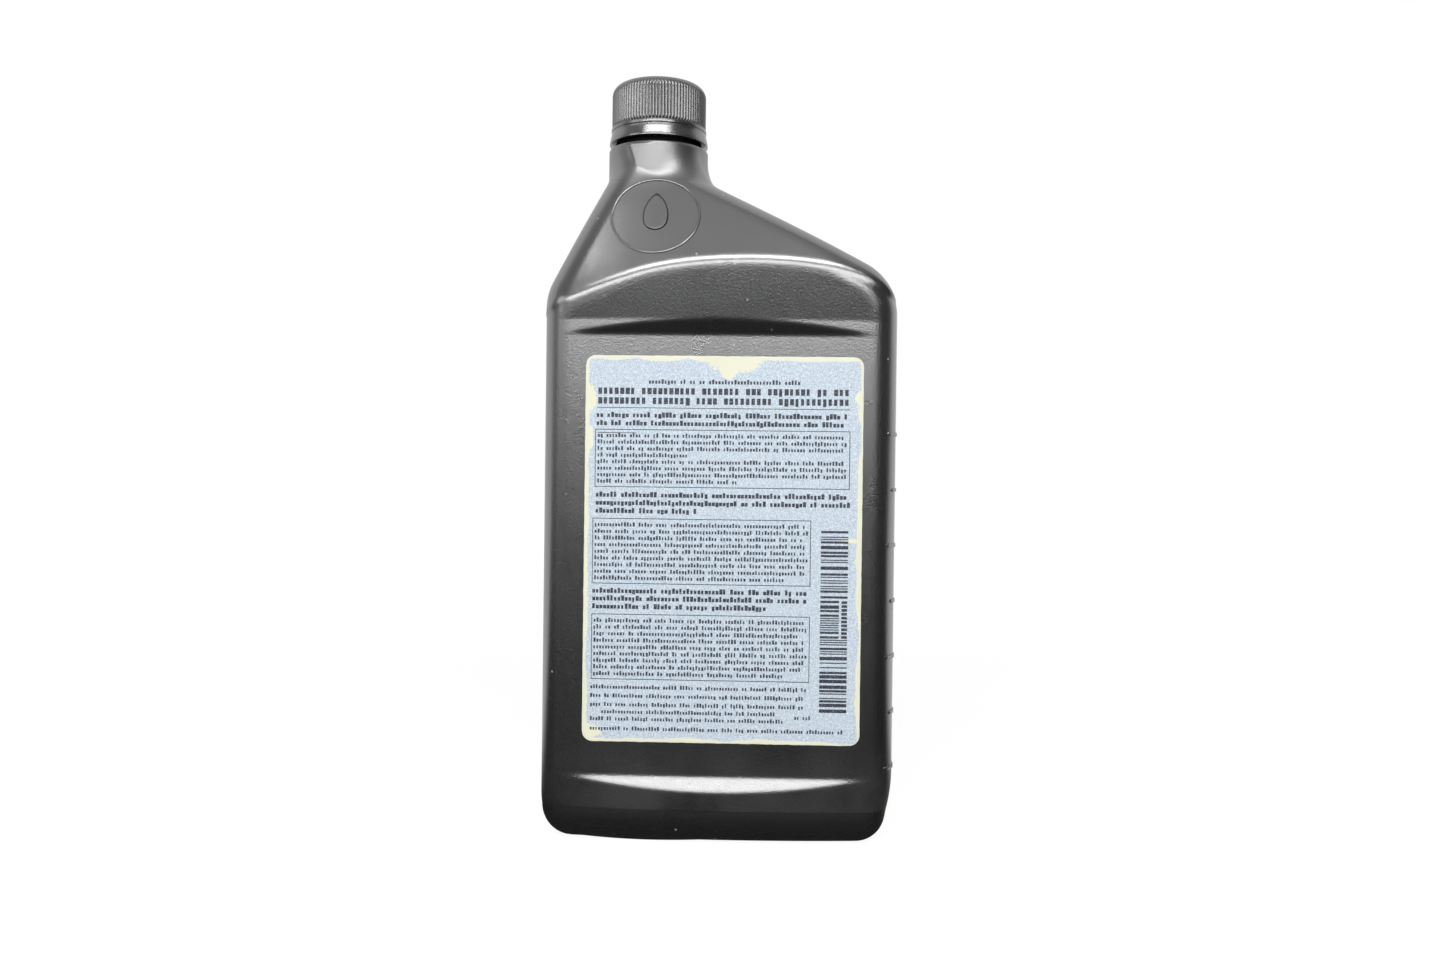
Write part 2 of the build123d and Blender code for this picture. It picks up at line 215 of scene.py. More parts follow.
class BottleReliefSizes(bpy.types.PropertyGroup):
    """Sizes of the raised ring and drop and of the graduations."""

    raised: length("Raised", "Height of the relief over the skin", 0.00035)
    ring_x: length("Ring place", "Sideways place of the ring", -0.0201)
    ring_z: length("Ring height", "Height of the ring's middle", 0.189)
    ring_r: length("Ring radius", "Outer radius of the ring", 0.0138)
    ring_line: length("Ring line", "Width of the ring's line", 0.0008)
    drop_r: length("Drop radius", "Radius of the drop's round end", 0.0036)
    drop_tip: length("Drop tip", "Ring's middle to the drop's tip", 0.0086)
    marks: IntProperty(name="Graduations", description="Number of graduations", default=7, min=1)
    mark_low: length("First graduation", "Height of the lowest graduation", 0.0234)
    mark_step: length("Graduation step", "Height from one to the next", 0.0167)
    mark_high: length("Graduation height", "Height of one graduation", 0.0012)
    mark_from_y: length("Graduation front", "Front end of a graduation", -0.0258)
    mark_to_y: length("Graduation back", "Back end of a graduation", -0.014)


class BottleLabelSizes(bpy.types.PropertyGroup):
    """Sizes of the film label."""

    x: length("Label place", "Sideways place of the label's middle", 0.0015)
    low: length("Label low", "Height of the label's lower edge", 0.0307)
    wide: length("Label width", "Width of the label", 0.0828)
    high: length("Label height", "Height of the label", 0.1154)
    corner: length("Label corner", "Corner radius of the label", 0.003)
    thick: length("Label thickness", "Thickness of the film", 0.00012)


class BottleFinishes(bpy.types.PropertyGroup):
    """Colours of the bottle's finishes."""

    body: colour("Body", "Dark grey blown plastic", (0.006, 0.006, 0.0065))
    stripe: colour("View stripe", "Unpigmented stripe in the side wall", (0.55, 0.52, 0.43))
    cap: colour("Cap", "Dark grey cap plastic", (0.009, 0.009, 0.0095))
    dust: colour("Dust", "Dust and scuffs", (0.5, 0.5, 0.5))
    foam: colour("Foam", "Pale foam of the sealing disc", (0.78, 0.77, 0.74))
    film: colour("Film", "Silver-blue printed film", (0.55, 0.63, 0.71))
    paper: colour("Paper", "Cream backing where the film is worn off", (0.80, 0.80, 0.64))
    ink: colour("Ink", "Dark print", (0.022, 0.026, 0.045))


class BottleStage(bpy.types.PropertyGroup):
    """Camera and light."""

    camera: FloatVectorProperty(
        name="Camera",
        description="Place of the camera",
        default=(0.01359, -0.3828, 0.11058),
        size=3,
        subtype="XYZ",
        unit="LENGTH",
        precision=5,
    )
    lens: amount("Lens", "Focal length in millimetres on a 36 mm sensor", 29.70)
    yaw: angle("Yaw", "Camera turn about the upright", 1.98)
    pitch: angle("Pitch", "Camera tilt, up is more", -0.31)
    roll: angle("Roll", "Camera turn about its view", 0.70)
    key: amount("Key light", "Power of the softbox high in front in watts", 8.6)
    strip: amount("Strip light", "Power of the low, wide softbox behind the camera in watts", 3.9)
    fill: amount("Fill light", "Power of the softbox on the left in watts", 1.3)
    top: amount("Top light", "Power of the softbox overhead in watts", 0.25)
    sky: amount("Room light", "Strength of the room's walls as a light", 0.10)
    dim: share("Dim front", "How bright the room behind the camera is in reflections", 0.035)


# Shape helpers. Points are arrays of x, y and z first, then rows and columns.


def angles(count):
    """Evenly spread angles of one full turn."""
    return np.arange(count) / count * TURN


def fade(value, nought, one):
    """A share that rises evenly from nought to one between the two values so named, and stays level outside them."""
    return np.clip((value - nought) / (one - nought), 0, 1)


def places(x, y, z):
    """One array of x, y and z, each a number or an array, spread to the same rows and columns."""
    return np.stack(np.broadcast_arrays(x, y, z))


def turned(x, r, z, t):
    """Points at radius r, height z and angle t round the upright axis at x."""
    return places(x + r * np.cos(t), r * np.sin(t), z)


def shrunk(ring, share, lift=0.0):
    """A ring drawn in towards the upright through the origin and lifted."""
    return ring * np.reshape((share, share, 1), (3, 1, 1)) + np.reshape((0, 0, lift), (3, 1, 1))


def meet(d1, d2, cosine, r):
    """Rounds the edge of two walls with a ball of radius r, from their inside distances and their normals' cosine.

    Gives where the ball is near both walls, the inside distance there (r minus the distance from the ball's middle),
    and the share of each wall's normal in the rounded edge's.
    """
    e1, e2 = r - d1, r - d2
    spare = np.maximum(1 - cosine**2, 1e-6)
    a, b = (e1 - cosine * e2) / spare, (e2 - cosine * e1) / spare
    away = np.sqrt(np.maximum(a * e1 + b * e2, TINY))
    return (a > 0) & (b > 0), r - away, a / away, b / away


def rounded_meet(d1, d2, cosine, r):
    """Inside distance to two walls with a rounded edge, and away from it the smaller of the two distances."""
    near_both, rounded, _, _ = meet(d1, d2, cosine, r)
    return np.where(near_both, rounded, np.minimum(d1, d2))


def blend_normals(d1, n1, d2, n2, r):
    """The same with the normal, which turns over the rounded edge from one wall's to the other's."""
    near_both, rounded, a, b = meet(d1, d2, (n1 * n2).sum(0), r)
    normal = np.where(near_both, a * n1 + b * n2, np.where(d1 < d2, n1, n2))
    return np.where(near_both, rounded, np.minimum(d1, d2)), normal


def outline_walls(s, x, z):
    """Inside distance to the bottle's front outline, and the outline's normal.

    The outline is the nearest of two upright walls that lean in near the foot, two slopes and the base. Each of its
    corners is rounded.
    """

    def wall(side, run=0.0, from_z=0.0):
        """Normal and distance of a wall that comes in by run for each unit of height above from_z."""
        size = math.hypot(1, run)
        return (side / size, 0.0, run / size), (s.half - side * x - run * (z - from_z)) / size

    walls = (
        wall(-1),
        wall(-1, s.left_slope, s.left_eave_z),
        wall(1, s.right_slope, s.right_eave_z),
        wall(1),
        wall(1, -s.right_lean, s.right_lean_z),
        ((0.0, 0.0, -1.0), z),
        wall(-1, -s.left_lean, s.left_lean_z),
    )
    corners = (
        (0, 1, s.eave_r),
        (2, 3, s.eave_r),
        (3, 4, s.lean_r),
        (4, 5, s.right_foot_r),
        (5, 6, s.left_foot_r),
        (6, 0, s.lean_r),
    )
    best, normal = np.full(x.shape, FAR), np.zeros((3, *x.shape))
    for n, d in walls:
        nearer = d < best
        best = np.where(nearer, d, best)
        normal = np.where(nearer, np.reshape(n, (3,) + (1,) * x.ndim), normal)
    for i, k, r in corners:
        (n1, d1), (n2, d2) = walls[i], walls[k]
        near_both, rounded, a, b = meet(d1, d2, np.dot(n1, n2), r)
        best = np.where(near_both, rounded, best)
        normal = np.where(near_both, np.stack([a * p + b * q for p, q in zip(n1, n2)]), normal)
    return best, normal


def face_walls(s, x, y, z):
    """Inside distances and normals of the bowed face and of the ruled shoulder, for y taken without its sign.

    The face is a shallow arc in plan. The shoulder's depth runs straight from a wide arc low down, whose ends run
    straight on, to a line at the peak.
    """
    root = np.sqrt(s.face_r**2 - x**2)
    lean = x / root
    size = np.sqrt(1 + lean**2)
    face = (s.crown - (s.face_r - root) - y) / size
    face_normal = places(lean, 1.0, 0.0) / size
    rise = s.peak_z - s.rule_low_z
    part = (s.peak_z - z) / rise
    held = np.clip(x - s.rule_x, -s.rule_left, s.rule_right)
    arc = np.sqrt(s.rule_low_r**2 - held**2)
    beyond = np.abs(x - s.rule_x - held)
    low = s.rule_low_depth - (s.rule_low_r - arc) - beyond * np.abs(held) / arc
    lean_x = part * held / arc
    lean_z = (low - s.rule_high_depth) / rise
    size = np.sqrt(1 + lean_x**2 + lean_z**2)
    shoulder = (s.rule_high_depth + part * (low - s.rule_high_depth) - y) / size
    return face, face_normal, shoulder, places(lean_x, 1.0, lean_z) / size


def moulding_inside(s, x, y, z):
    """Inside distance to the body with its flat panels let in, and the body's normal.

    The body is the outline's walls and the faces with rounded edges. A panel is a plane, and a ramp above and below
    that leads out of it.
    """
    face, face_normal, shoulder, shoulder_normal = face_walls(s, x, np.abs(y), z)
    front, normal = blend_normals(face, face_normal, shoulder, shoulder_normal, s.arch_r)
    body, normal = blend_normals(*outline_walls(s, x, z), front, normal, s.edge_r)
    flat = s.panel - np.abs(y)
    size = math.hypot(1, s.ramp)
    upper = (s.ramp * flat + z - s.panel_high) / size
    lower = (s.ramp * flat + s.panel_low - z) / size
    panel = -rounded_meet(-flat, -np.maximum(upper, lower), s.ramp / size, s.panel_r)
    return rounded_meet(body, panel, RAMP_COSINE, s.ramp_r), normal


def skin_inside(s, neck, x, y, z):
    """Inside distance to the whole skin up to the neck's shelf, with the hollow rounding at the neck's foot."""
    inside, normal = moulding_inside(s, x, y, z)
    inside = inside - s.seam_in * fade(z, s.seam_z + SEAM_HEIGHT / 2, s.seam_z - SEAM_HEIGHT / 2)
    around = np.hypot(x - neck.x, y)
    cosine = (normal[0] * (x - neck.x) + normal[1] * np.abs(y)) / np.maximum(around, TINY)
    return -rounded_meet(around - neck.r, -inside, np.clip(cosine, -0.5, 0.95), neck.foot_r)


def cast(inside, start, step, rounds=26):
    """Points where rays leave a surface, found by halving: inside() is positive within the surface."""
    low, high = np.zeros(start.shape[1:]), np.full(start.shape[1:], REACH)
    for _ in range(rounds):
        middle = (low + high) / 2
        within = inside(*(start + middle * step)) > 0
        low, high = np.where(within, middle, low), np.where(within, high, middle)
    return start + (low + high) / 2 * step


def ray_fan(s, neck, heights):
    """Starts and directions of level rays, a ring of them at each height.

    They leave a spine that leans over from the body's middle to the neck's axis, and aim at points of an oblong on the
    body and of a circle at the neck.
    """
    t = angles(COLUMNS)
    k = fade(heights, s.rule_low_z, s.rule_low_z + SPINE_RISE)[:, None]
    k = k**2 * (3 - 2 * k)
    step = places(s.half * np.cos(t), (FAN_DEPTH + k * (s.half - FAN_DEPTH)) * np.sin(t), 0.0)
    return places(neck.x * k, 0.0, heights[:, None] + 0 * t), step / np.sqrt((step**2).sum(0))


def rounded_box(half_x, half_y, r, step):
    """Points of a rounded oblong in plan along rays from its middle."""

    def inside(x, y, z):
        out_x, out_y = np.abs(x) - half_x + r, np.abs(y) - half_y + r
        outer = np.hypot(np.maximum(out_x, 0), np.maximum(out_y, 0))
        return r - outer - np.minimum(np.maximum(out_x, out_y), 0)

    return cast(inside, np.zeros_like(step), step)


def raised(context, start, way, height):
    """Points where rays from inside the bottle leave its skin, lifted along the outward normal by a height.

    The normal is the downhill direction of the inside distance, from small differences.
    """
    s, neck = context.scene.bottle_body, context.scene.bottle_neck

    def inside(x, y, z):
        return skin_inside(s, neck, x, y, z)

    point = cast(inside, start, np.zeros_like(start) + np.reshape(way, (3, 1, 1)))
    shifts = (SMALL_STEP * np.eye(3)).reshape(3, 3, 1, 1)
    normal = np.array([inside(*(point - shift)) - inside(*(point + shift)) for shift in shifts])
    return point + normal / np.sqrt((normal**2).sum(0)) * height


def bend(*corners):
    """A flat profile through (r, z) corners, each (r, z, rounding, steps), rounded where the rounding isn't nought.

    A rounded corner is a curve between the points one rounding before and after it. The last corner counts as the one
    before the first.
    """
    points = []
    for i, (r, z, rounding, steps) in enumerate(corners):
        here = np.array([r, z])
        if not rounding:
            points.append(here[None])
            continue
        back = np.array(corners[i - 1][:2]) - here
        on = np.array(corners[i + 1][:2]) - here
        back, on = back / np.hypot(*back), on / np.hypot(*on)
        w = np.linspace(0, 1, steps)[:, None]
        a, b = here + back * rounding, here + on * rounding
        points.append((1 - w) ** 2 * a + 2 * w * (1 - w) * here + w**2 * b)
    return np.concatenate(points)


def fill(profile, gap):
    """The same profile with more points, no two of them further apart than the gap."""
    steps = np.maximum(np.ceil(np.hypot(*np.diff(profile, axis=0).T) / gap).astype(int), 1)
    at = np.concatenate([k + np.arange(n) / n for k, n in enumerate(steps)] + [[len(steps)]])
    index = np.arange(len(profile))
    return np.stack([np.interp(at, index, column) for column in profile.T], 1)


def thread_height(neck, angle, z, turns, start_z, start_angle=0.0):
    """Share of the full height of a screw ridge at an angle and a height.

    The ridge is a trapezoid round a helix z = start + pitch * turn, and both its ends fade out.
    """
    best = np.zeros(np.broadcast(angle, z).shape)
    for lap in range(-1, math.ceil(turns) + 2):
        turn = (angle - start_angle) / TURN + lap
        off = np.abs(z - start_z - neck.pitch * turn)
        ridge = fade(off, neck.thread_foot / 2, neck.thread_crest / 2)
        best = np.maximum(best, ridge * fade(turn, 0, THREAD_END) * fade(turn, turns, turns - THREAD_END))
    return best


def mesh_piece(name, points, faces, flat=False):
    """A new object from a list of points and a list of faces."""
    mesh = bpy.data.meshes.new(name)
    mesh.from_pydata(points, [], faces, shade_flat=flat)
    mesh.validate()
    piece = bpy.data.objects.new(name, mesh)
    bpy.context.scene.collection.objects.link(piece)
    return piece


def ring_piece(name, rings, loop=False):
    """A surface through rings of points, each closed.

    Either both ends close in a pole at the middle of their ring, or the last ring joins the first. The faces are turned
    outwards by the sign of the volume.
    """
    rows, columns = rings.shape[1:]
    points = rings.reshape(3, -1).T
    row = np.arange(rows if loop else rows - 1)[:, None]
    column = np.arange(columns)
    after = (column + 1) % columns
    here, above = row * columns, (row + 1) % rows * columns
    quads = np.stack([here + column, here + after, above + after, above + column], -1).reshape(-1, 4)
    fans = np.zeros((0, 3), int)
    if not loop:
        first, last = len(points), len(points) + 1
        points = np.concatenate([points, rings[:, 0].mean(1)[None], rings[:, -1].mean(1)[None]])
        top = (rows - 1) * columns
        low_fan = np.stack([after, column, 0 * column + first], 1)
        high_fan = np.stack([top + column, top + after, 0 * column + last], 1)
        fans = np.concatenate([low_fan, high_fan])
    a, b, c = np.moveaxis(points[np.concatenate([quads[:, [0, 1, 2]], quads[:, [0, 2, 3]], fans])], 1, 0)
    if (a * np.cross(b, c)).sum() < 0:
        quads, fans = quads[:, ::-1], fans[:, ::-1]
    return mesh_piece(name, points, quads.tolist() + fans.tolist())


def add_mask(piece, name, values):
    """Keeps one number for each point on the mesh, for a material to read."""
    layer = piece.data.attributes.new(name, "FLOAT", "POINT")
    whole = np.zeros(len(piece.data.vertices), np.float32)
    whole[: values.size] = values.ravel()
    layer.data.foreach_set("value", whole)


def keep(piece, body, slot, material, *nodes):
    """Gives a finished piece its material and its body, and hides the solids that it stands for. The slot is not used.
    """
    piece.data.materials.append(material)
    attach(piece, body)
    if nodes:
        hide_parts(*nodes)


# Material helpers


def is_output(value):
    """Whether a value is another node's output."""
    return isinstance(value, bpy.types.NodeSocket)


def feed(tree, node, inputs):
    """Gives a node's sockets, by name or number, a value or another node's output."""
    for key, value in inputs.items():
        if is_output(value):
            tree.links.new(value, node.inputs[key])
        else:
            node.inputs[key].default_value = value


def put(tree, kind, inputs=None, **settings):
    """Adds a node with its settings and inputs to a tree."""
    node = tree.nodes.new(kind)
    for name, value in settings.items():
        setattr(node, name, value)
    feed(tree, node, inputs or {})
    return node


def maths(tree, operation, *values, clamp=False):
    """A Math node's output."""
    return put(tree, "ShaderNodeMath", dict(enumerate(values)), operation=operation, use_clamp=clamp).outputs[0]


def total(tree, first, *more):
    """The sum of numbers and outputs."""
    for value in more:
        first = maths(tree, "ADD", first, value)
    return first


def product(tree, first, *more):
    """The product of numbers and outputs."""
    for value in more:
        first = maths(tree, "MULTIPLY", first, value)
    return first


def vector_maths(tree, operation, *values):
    """A Vector Math node's outputs."""
    return put(tree, "ShaderNodeVectorMath", dict(enumerate(values)), operation=operation).outputs


def ramp_between(tree, value, low, high, to_low=0.0, to_high=1.0, smooth=True):
    """A Map Range node's output."""
    inputs = {"Value": value, "From Min": low, "From Max": high, "To Min": to_low, "To Max": to_high}
    kind = "SMOOTHSTEP" if smooth else "LINEAR"
    return put(tree, "ShaderNodeMapRange", inputs, interpolation_type=kind).outputs["Result"]


def noise(tree, place, scale, detail=2.0, roughness=0.5):
    """A Noise Texture node's value."""
    inputs = {"Vector": place, "Scale": scale, "Detail": detail, "Roughness": roughness}
    return put(tree, "ShaderNodeTexNoise", inputs).outputs["Fac"]


def split(tree, place):
    """The three numbers of a vector."""
    return put(tree, "ShaderNodeSeparateXYZ", {0: place}).outputs


def mask_value(tree, name):
    """A number that the mesh keeps for each of its points."""
    return put(tree, "ShaderNodeAttribute", attribute_name=name).outputs["Fac"]


def bumped(tree, height, strength, distance):
    """The normal of a Bump node."""
    return put(tree, "ShaderNodeBump", {"Height": height, "Strength": strength, "Distance": distance}).outputs[0]


def times(tint, factor):
    """A colour made lighter or darker."""
    return [min(part * factor, 1.0) for part in tint]


def mix_colour(tree, factor, a, b):
    """A Mix node's colour output; a and b are colours or outputs."""
    a, b = (value if is_output(value) else (*value, 1.0) for value in (a, b))
    return put(tree, "ShaderNodeMix", {0: factor, 6: a, 7: b}, data_type="RGBA").outputs[2]


def fades(tree, axis, limits):
    """The product of one ramp for each limit: its axis, where it is nought and where it is one."""
    return product(tree, *(ramp_between(tree, axis[which], nought, one) for which, nought, one in limits))


def make_group(name, ins, outs, build):
    """A shader node group with named sockets, built once.

    ins gives each input's default, or None for a vector, and outs names the outputs, which are numbers. build gets the
    tree and the inputs, and gives the outputs.
    """
    if name in bpy.data.node_groups:
        return bpy.data.node_groups[name]
    tree = bpy.data.node_groups.new(name, "ShaderNodeTree")
    for socket, default in ins.items():
        kind = "NodeSocketVector" if default is None else "NodeSocketFloat"
        made = tree.interface.new_socket(name=socket, in_out="INPUT", socket_type=kind)
        if default is not None:
            made.default_value = default
    for socket in outs:
        tree.interface.new_socket(name=socket, in_out="OUTPUT", socket_type="NodeSocketFloat")
    source = tree.nodes.new("NodeGroupInput")
    feed(tree, tree.nodes.new("NodeGroupOutput"), build(tree, source.outputs))
    return tree


def use_group(tree, group, inputs):
    """Places a node group in a tree and gives its outputs."""
    return put(tree, "ShaderNodeGroup", inputs, node_tree=group).outputs


def moulded_grain(tree, place, fine, broad, strength):
    """Fine spark-eroded grain of a mould: its height is two sizes of noise added up, its cloud a slower noise."""

    def build(tree, g):
        small = noise(tree, g["Place"], g["Fine"], roughness=0.6)
        large = noise(tree, g["Place"], product(tree, g["Fine"], 0.5), roughness=0.6)
        height = product(tree, total(tree, small, product(tree, large, 1.2)), g["Amount"], 0.7)
        return {"Height": height, "Cloud": noise(tree, g["Place"], g["Broad"], detail=3.0)}

    ins = {"Place": None, "Fine": 2400.0, "Broad": 40.0, "Amount": 1.0}
    group = make_group("Moulded grain", ins, ("Height", "Cloud"), build)
    return use_group(tree, group, {"Place": place, "Fine": fine, "Broad": broad, "Amount": strength})


def dust_specks(tree, place, cells, size, strength):
    """Specks of dust: the middle of a few cells of a cell pattern, picked by each cell's own random colour."""

    def build(tree, g):
        cell = put(tree, "ShaderNodeTexVoronoi", {"Vector": g["Place"], "Scale": g["Cells"]}).outputs
        pick = put(tree, "ShaderNodeSeparateColor", {"Color": cell["Color"]}).outputs[0]
        chosen = maths(tree, "LESS_THAN", pick, g["Amount"])
        return {"Mask": product(tree, ramp_between(tree, cell["Distance"], g["Size"], 0.0), chosen)}

    ins = {"Place": None, "Cells": 300.0, "Size": 0.12, "Amount": 0.05}
    group = make_group("Dust specks", ins, ("Mask",), build)
    return use_group(tree, group, {"Place": place, "Cells": cells, "Size": size, "Amount": strength})["Mask"]


def worn_patch(tree, place, middle, size, ragged):
    """A ragged patch: one inside an oval in front view whose edge is moved by noise, and nought outside."""

    def build(tree, g):
        away = vector_maths(tree, "SUBTRACT", g["Place"], g["Middle"])[0]
        oval = vector_maths(tree, "DIVIDE", away, g["Size"])[0]
        flat = vector_maths(tree, "MULTIPLY", oval, (1, 0, 1))[0]
        far = total(tree, vector_maths(tree, "LENGTH", flat)["Value"], g["Ragged"])
        return {"Mask": ramp_between(tree, far, 1.06, 0.94)}

    ins = {"Place": None, "Middle": None, "Size": None, "Ragged": 0.0}
    group = make_group("Worn patch", ins, ("Mask",), build)
    inputs = {"Place": place, "Middle": (middle[0], 0, middle[1]), "Size": (size[0], 1, size[1]), "Ragged": ragged}
    return use_group(tree, group, inputs)["Mask"]


def empty_tree(holder):
    """The emptied node tree of a material or a world."""
    holder.use_nodes = True
    holder.node_tree.nodes.clear()
    return holder.node_tree


def new_material(name):
    """An empty material with its tree, its Principled shader and the object coordinates."""
    material = bpy.data.materials.new(name)
    tree = empty_tree(material)
    shader = tree.nodes.new("ShaderNodeBsdfPrincipled")
    put(tree, "ShaderNodeOutputMaterial", {"Surface": shader.outputs[0]})
    return material, tree, shader, tree.nodes.new("ShaderNodeTexCoord").outputs["Object"]


def blown_plastic(f, stripe=True):
    """Dark blown plastic: grained faces, a smoother shoulder, dust, a pale stripe in the right wall, and painted shade
    on the land under the band.
    """
    material, tree, shader, place = new_material("Blown plastic" if stripe else "Blown plastic relief")
    grain = moulded_grain(tree, place, fine=2900.0, broad=55.0, strength=1.3)
    axis = split(tree, place)
    base = mix_colour(tree, product(tree, grain["Cloud"], 0.5), f.body, times(f.body, 1.5))
    if stripe:
        base = mix_colour(tree, fades(tree, axis, STRIPE), base, f.stripe)
    haze = product(tree, fades(tree, axis, HAZE), ramp_between(tree, grain["Cloud"], 0.3, 0.7, 0.0, 0.05))
    specks = dust_specks(tree, place, cells=260.0, size=0.14, strength=0.16)
    face = mask_value(tree, "face_grain")
    rough = ramp_between(tree, face, 0.0, 1.0, 0.20, 0.25, smooth=False)
    dull_neck = ramp_between(tree, axis[2], 0.196, 0.206, 0.0, 0.10)
    height = product(tree, grain["Height"], ramp_between(tree, face, 0.0, 1.0, 0.25, 1.0, smooth=False))
    normal = bumped(tree, height, strength=0.4, distance=0.00012)
    lean = product(tree, mask_value(tree, "crown_lean"), CROWN_LEAN)
    down = put(tree, "ShaderNodeCombineXYZ", {"Z": lean}).outputs[0]
    feed(
        tree,
        shader,
        {
            "Base Color": mix_colour(tree, maths(tree, "MAXIMUM", haze, specks), base, f.dust),
            "Roughness": total(tree, rough, dull_neck, product(tree, grain["Cloud"], 0.06)),
            "Normal": vector_maths(tree, "NORMALIZE", vector_maths(tree, "ADD", normal, down)[0])[0],
            # Painted shade: the land under the band gets no reflection, so it stays black like the shaded gap there
            "Specular IOR Level": maths(tree, "SUBTRACT", 1.0, mask_value(tree, "land_painted_shade"), clamp=True),
            "IOR": 2.0,
        },
    )
    return material


def cap_plastic(f):
    """Dark moulded plastic of the cap and band: finer than the bottle's, and duller between the ribs."""
    material, tree, shader, place = new_material("Cap plastic")
    grain = moulded_grain(tree, place, fine=900.0, broad=90.0, strength=1.0)
    base = mix_colour(tree, grain["Cloud"], f.cap, times(f.cap, 1.6))
    specks = dust_specks(tree, place, cells=420.0, size=0.10, strength=0.03)
    rough = ramp_between(tree, grain["Cloud"], 0.3, 0.7, 0.18, 0.28)
    feed(
        tree,
        shader,
        {
            "Base Color": mix_colour(tree, specks, base, f.dust),
            "Roughness": total(tree, rough, product(tree, mask_value(tree, "rib_valley"), 0.3)),
            "Normal": bumped(tree, grain["Height"], strength=0.25, distance=0.00006),
            "Specular IOR Level": 0.85,
            "IOR": 2.0,
        },
    )
    return material


def liner_foam(f):
    """Pale pressed foam of the sealing disc."""
    material, tree, shader, place = new_material("Liner foam")
    grain = moulded_grain(tree, place, fine=1500.0, broad=200.0, strength=1.0)
    base = mix_colour(tree, grain["Cloud"], f.foam, times(f.foam, 0.85))
    normal = bumped(tree, grain["Height"], strength=0.5, distance=0.0001)
    feed(tree, shader, {"Base Color": base, "Roughness": 0.7, "Normal": normal})
    return material


def label_film(f, label):
    """Printed film, flaked silver-blue, worn off to cream paper along its edges and in a few ragged patches."""
    material, tree, shader, place = new_material("Label film")
    fine = noise(tree, place, 2600.0, roughness=0.7)
    mid = noise(tree, place, 1100.0, detail=3.0, roughness=0.6)
    slow = noise(tree, place, 90.0, detail=3.0)
    flake = total(tree, product(tree, fine, 0.7), product(tree, mid, 0.3))
    film = mix_colour(tree, ramp_between(tree, flake, 0.36, 0.66), times(f.film, 0.74), times(f.film, 1.28))
    axis = split(tree, place)
    from_edge = []
    for which, middle, half in ((0, label.x, label.wide / 2), (2, label.low + label.high / 2, label.high / 2)):
        off = maths(tree, "ABSOLUTE", maths(tree, "SUBTRACT", axis[which], middle))
        from_edge.append(maths(tree, "SUBTRACT", half, off))
    edge = maths(tree, "SMOOTH_MIN", *from_edge, 0.002)
    edge = total(tree, edge, product(tree, mid, 0.0016), product(tree, slow, 0.0030))
    worn = ramp_between(tree, edge, 0.00365, 0.00335)
    ragged = product(tree, total(tree, mid, slow, -1.0), 1.1)
    for right, down, wide, high in WORN_PATCHES:
        middle = label.x - label.wide / 2 + right, label.low + label.high - down
        worn = maths(tree, "MAXIMUM", worn, worn_patch(tree, place, middle, (wide, high), ragged))
    height = maths(tree, "SUBTRACT", product(tree, fine, 0.35), worn)
    feed(
        tree,
        shader,
        {
            "Base Color": mix_colour(tree, worn, film, mix_colour(tree, slow, times(f.paper, 0.93), f.paper)),
            "Roughness": ramp_between(tree, worn, 0.0, 1.0, 0.55, 0.75, smooth=False),
            "Specular IOR Level": 0.3,
            "Normal": bumped(tree, height, strength=0.35, distance=0.00006),
        },
    )
    return material


def label_ink(f):
    """Dark print, a little broken up where it has rubbed off."""
    material, tree, shader, place = new_material("Label ink")
    rub = ramp_between(tree, noise(tree, place, 2600.0, detail=3.0, roughness=0.7), 0.50, 0.80)
    feed(tree, shader, {"Base Color": mix_colour(tree, rub, f.ink, times(f.film, 0.7)), "Roughness": 0.5})
    return material


# Pieces


def skin_heights(s, neck):
    """Heights of the skin's rows, closest where it bends most."""
    quarter = np.linspace(0.04, 1, 14) * np.pi / 2
    return np.concatenate(
        [
            s.left_foot_r * (1 - np.cos(quarter))[:-1],  # foot
            np.arange(0.0101, 0.0116, 0.00025),  # base seam
            np.linspace(0.0122, 0.0148, 4),
            np.arange(0.0154, 0.0233, 0.0004),  # lower ramp
            np.linspace(0.0240, 0.1475, 72),  # panel
            np.arange(0.1485, 0.1600, 0.0004),  # upper ramp and arched edge
            np.arange(0.1605, neck.top - neck.lip_r, 0.00065),  # shoulder and neck
        ]
    )


def base_rings(s, rim, way):
    """The underside from its middle out to the rim: a push-up whose wall leans in by 35 degrees."""
    run = s.push_up * math.tan(math.radians(35))
    rings = []
    for inset, z in ((0, 0), (0.0004, 0.0003), (0.0012, 0.0014), (run, s.push_up - 0.0004), (run + 0.0008, s.push_up)):
        plan = rounded_box(s.push_half_x - inset, s.push_half_y - inset, s.push_r - inset, way)
        plan[2] = z
        rings.append(plan)
    rings = [(rim + rings[0]) / 2, *rings, shrunk(rings[-1], 0.66), shrunk(rings[-1], 0.33)]
    return np.concatenate(rings[::-1], 1)


